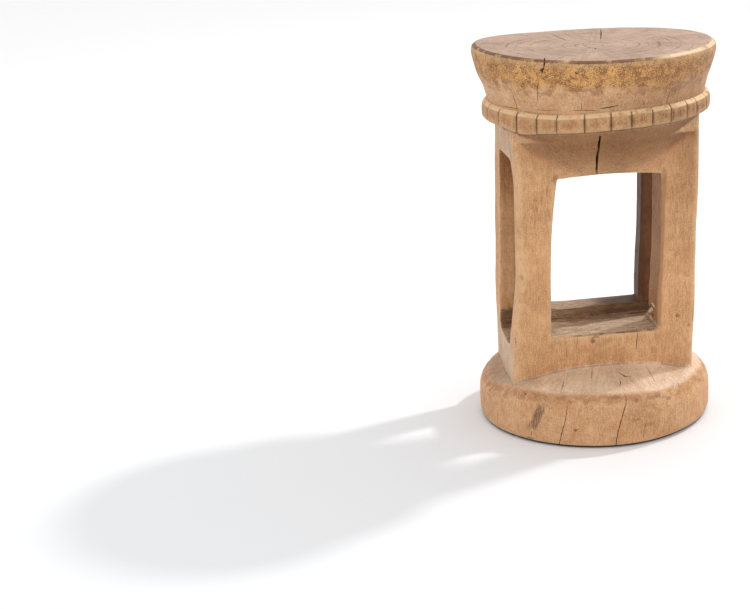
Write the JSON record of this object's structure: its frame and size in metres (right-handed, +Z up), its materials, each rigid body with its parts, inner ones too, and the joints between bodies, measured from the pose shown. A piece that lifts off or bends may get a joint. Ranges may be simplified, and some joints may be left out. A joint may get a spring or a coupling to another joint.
{
  "type": "carved wooden stool",
  "caption": "Low round stool carved from one log: thick seat over a notched collar, a rectangular shaft with windows through both ways, and a round foot.",
  "frame": {"origin": "on the floor, under the middle of the stool", "axes": "+Z up, -Y towards the broad front of the shaft, +X to its right"},
  "size_m": [0.2806, 0.2679, 0.4519],
  "materials": {
    "carved_wood": "hand carved, dry, lightly polished by use"
  },
  "bodies": {
    "root": {"stool": "carved_wood"}
  },
  "joints": []
}
